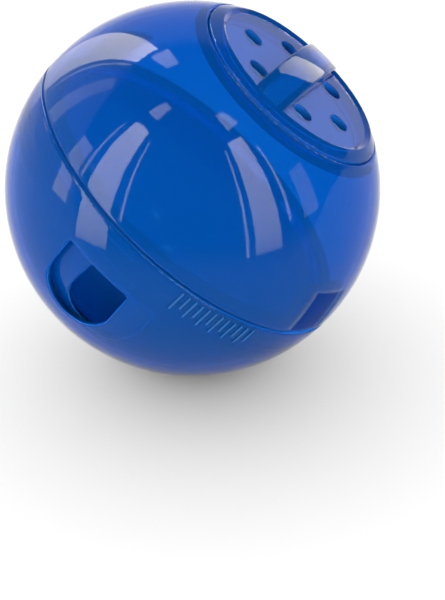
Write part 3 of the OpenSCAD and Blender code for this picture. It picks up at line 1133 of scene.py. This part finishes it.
class TREATBALL_OT_stage(bpy.types.Operator):
    """Sets up the pale floor, the light panels, the room light and the camera"""

    bl_idname = "treat_ball.stage"
    bl_label = "Stage"

    # Size of the sheet that the ball lies on, and how far it reaches in front of the ball
    sheet = 6
    sheet_front = 0.1
    # Direction of the middle of the white wall behind the ball, from which most of the light comes too
    wall_way = (-0.39, 0.92, 0)
    # Brightness in reflections of what lies above that wall and above the floor
    dim = 0.06
    # Light panels round the ball: degrees from behind it towards its right, share of the light, how fast
    # the light falls off towards the lower end, and in millimetres the width, the lower and the upper end
    panel_places = (
        (-124, 1, 0.3, 74, -38, 350),
        (-122, 0.5, 0, 74, 480, 880),
        (-108.5, 0.5, 0, 6, 70, 290),
        (-140, 0.5, 0, 6, 30, 290),
        (-99, 0.3, 0, 46, 10, 140),
        (-64, 0.1, 0, 40, 50, 260),
        (-33, 1.1, 1.5, 74, -38, 310),
        (-25.5, 0.4, 0, 66, 344, 584),
        (-46, 0.4, 1, 6, 30, 290),
        (31, 0.02, 0, 90, -25, 75),
        (46, 0.35, 0, 62, 36, 192),
        (139.5, 0.85, 0.3, 58, -38, 300),
        (132, 0.5, 0, 62, 381, 623),
        (151.5, 0.5, 0, 6, -38, 260),
        (125.8, 0.5, 0, 6, 10, 220),
        (112, 0.15, 0, 40, 0, 100),
    )

    def execute(self, context):
        """Builds the floor, the lights, the world and the camera."""
        stage = context.scene.treat_ball_stage
        self.floor()
        self.panels(stage)
        self.room(context.scene, stage)
        self.camera(context.scene, stage)
        context.scene.view_settings.view_transform = "Standard"
        context.scene.cycles.max_bounces = 32
        context.scene.cycles.transmission_bounces = 32
        context.scene.cycles.glossy_bounces = 16
        context.scene.cycles.caustics_refractive = False
        context.scene.cycles.caustics_reflective = False
        return {"FINISHED"}

    def floor(self):
        """A plain pale sheet under the ball, which ends in front of it outside the picture."""
        deselect()
        middle = self.sheet / 2 - self.sheet_front
        bpy.ops.mesh.primitive_plane_add(size=self.sheet, location=(0, middle, -BALL_R))
        floor = bpy.context.object
        floor.name = "floor"
        paper = bpy.data.materials.new("pale paper")
        paper.use_nodes = True
        shader = paper.node_tree.nodes["Principled BSDF"]
        shader.inputs["Base Color"].default_value = (0.92, 0.92, 0.92, 1)
        shader.inputs["Roughness"].default_value = 0.9
        shader.inputs["Specular IOR Level"].default_value = 0
        floor.data.materials.append(paper)

    def panels(self, stage):
        """Upright light panels round the ball, which show in reflections and don't light the floor."""
        for turn, light, fall, width, low, high in self.panel_places:
            out = Vector((math.sin(turn * DEGREE), math.cos(turn * DEGREE), 0))
            deselect()
            middle = Vector((0, 0, (low + high) / 2 * MM))
            bpy.ops.object.light_add(type="AREA", location=out * stage.panel_reach + middle)
            lamp = bpy.context.object
            lamp.rotation_euler = (-out).to_track_quat("-Z", "Y").to_euler()
            lamp.data.shape = "RECTANGLE"
            lamp.data.size = width * MM
            lamp.data.size_y = (high - low) * MM
            lamp.data.energy = light * stage.panel_light * math.pi * lamp.data.size * lamp.data.size_y
            lamp.data.color = stage.panel_colour
            lamp.visible_camera = False
            lamp.visible_transmission = False
            lamp.visible_diffuse = False
            self.fall_off(lamp.data, fall)

    def fall_off(self, lamp, fall):
        """Makes a panel darker towards its lower end."""
        lamp.use_nodes = True
        tree = lamp.node_tree
        spot = tree.nodes.new("ShaderNodeNewGeometry")
        parts = tree.nodes.new("ShaderNodeSeparateXYZ")
        rise = node_in(tree, "ShaderNodeMath", operation="POWER")
        rise.inputs[1].default_value = fall
        wire(tree, (
            (spot, "Parametric", parts, "Vector"),
            (parts, "Y", rise, 0),
            (rise, "Value", tree.nodes["Emission"], "Strength"),
        ))

    def room(self, scene, stage):
        """A white room for the camera and through the ball, with a wall and a floor in reflections."""
        world = bpy.data.worlds.new("room")
        scene.world = world
        world.use_nodes = True
        tree = world.node_tree
        tree.nodes.clear()
        way = tree.nodes.new("ShaderNodeTexCoord")
        parts = tree.nodes.new("ShaderNodeSeparateXYZ")
        rays = tree.nodes.new("ShaderNodeLightPath")
        wall = node_in(tree, "ShaderNodeVectorMath", operation="DOT_PRODUCT")
        wall.inputs[1].default_value = self.wall_way
        # In reflections: the height of the wall's top, the fade above it, and the floor
        limit = ramp(tree, -0.1, 0.5, -0.45, 0.75, "LINEAR")
        above = node_in(tree, "ShaderNodeMath", operation="SUBTRACT")
        fade = ramp(tree, -0.08, 0.08, 1, self.dim)
        ground = ramp(tree, -0.42, 0, 0.95, self.dim)
        mirrored = node_in(tree, "ShaderNodeMath", operation="MAXIMUM")
        # Through the ball: white, and darker high up
        high = ramp(tree, 0.5, 0.9, 1, 0.45)
        # As light: strong from low down and from the side of the wall
        low_light = ramp(tree, 0.6, 0.85, stage.room_light, 0.4)
        behind = ramp(tree, -1, 1, 0.45, 1.1, "LINEAR")
        around = node_in(tree, "ShaderNodeMath", operation="MULTIPLY")
        reflected = node_in(tree, "ShaderNodeMix")
        through = node_in(tree, "ShaderNodeMix")
        seen = node_in(tree, "ShaderNodeMix", B=1)
        sky = node_in(tree, "ShaderNodeBackground", Color=(1, 1, 1, 1))
        out = tree.nodes.new("ShaderNodeOutputWorld")
        wire(tree, (
            (way, "Generated", parts, "Vector"),
            (way, "Generated", wall, 0),
            (wall, "Value", limit, "Value"),
            (parts, "Z", above, 0),
            (limit, "Result", above, 1),
            (above, "Value", fade, "Value"),
            (parts, "Z", ground, "Value"),
            (fade, "Result", mirrored, 0),
            (ground, "Result", mirrored, 1),
            (parts, "Z", high, "Value"),
            (parts, "Z", low_light, "Value"),
            (wall, "Value", behind, "Value"),
            (low_light, "Result", around, 0),
            (behind, "Result", around, 1),
            (rays, "Is Glossy Ray", reflected, "Factor"),
            (around, "Value", reflected, "A"),
            (mirrored, "Value", reflected, "B"),
            (rays, "Is Transmission Ray", through, "Factor"),
            (reflected, "Result", through, "A"),
            (high, "Result", through, "B"),
            (rays, "Is Camera Ray", seen, "Factor"),
            (through, "Result", seen, "A"),
            (seen, "Result", sky, "Strength"),
            (sky, "Background", out, "Surface"),
        ))

    def camera(self, scene, stage):
        """The camera at the photograph's angle."""
        deselect()
        back = Vector((0, -math.cos(stage.camera_rise), math.sin(stage.camera_rise)))
        rise = Vector((0, math.sin(stage.camera_rise), math.cos(stage.camera_rise)))
        place = back * stage.camera_reach
        aim = Vector((stage.aim_right, 0, 0)) - rise * stage.aim_down
        bpy.ops.object.camera_add(location=place)
        camera = bpy.context.object
        camera.rotation_euler = (aim - place).to_track_quat("-Z", "Y").to_euler()
        camera.data.lens = stage.lens
        camera.data.clip_start = 0.01
        scene.camera = camera


class TREATBALL_PT_panel(bpy.types.Panel):
    """Lists the steps that build the treat ball"""

    bl_idname = "TREATBALL_PT_panel"
    bl_label = "Treat ball"
    bl_space_type = "VIEW_3D"
    bl_region_type = "UI"
    bl_category = "Treat ball"

    def draw(self, context):
        """Draws a button for each step."""
        for step in STEPS:
            self.layout.operator(step.bl_idname)


STEPS = (
    TREATBALL_OT_lower_shell,
    TREATBALL_OT_shutter_cup,
    TREATBALL_OT_upper_shell,
    TREATBALL_OT_filler_cap,
    TREATBALL_OT_stage,
)
CLASSES = (TreatBallSizes, TreatBallFinish, TreatBallStage, *STEPS, TREATBALL_PT_panel)


def register():
    """Registers the add-on's classes and its settings on the scene."""
    for kind in CLASSES:
        bpy.utils.register_class(kind)
    bpy.types.Scene.treat_ball_sizes = PointerProperty(type=TreatBallSizes)
    bpy.types.Scene.treat_ball_finish = PointerProperty(type=TreatBallFinish)
    bpy.types.Scene.treat_ball_stage = PointerProperty(type=TreatBallStage)


def unregister():
    """Takes the settings and the classes away again."""
    del bpy.types.Scene.treat_ball_stage
    del bpy.types.Scene.treat_ball_finish
    del bpy.types.Scene.treat_ball_sizes
    for kind in reversed(CLASSES):
        bpy.utils.unregister_class(kind)


def main():
    """Builds the pieces and the stage."""
    register()
    bpy.ops.treat_ball.lower_shell()
    bpy.ops.treat_ball.shutter_cup()
    bpy.ops.treat_ball.upper_shell()
    bpy.ops.treat_ball.filler_cap()
    bpy.ops.treat_ball.stage()


if __name__ == "__main__":
    main()
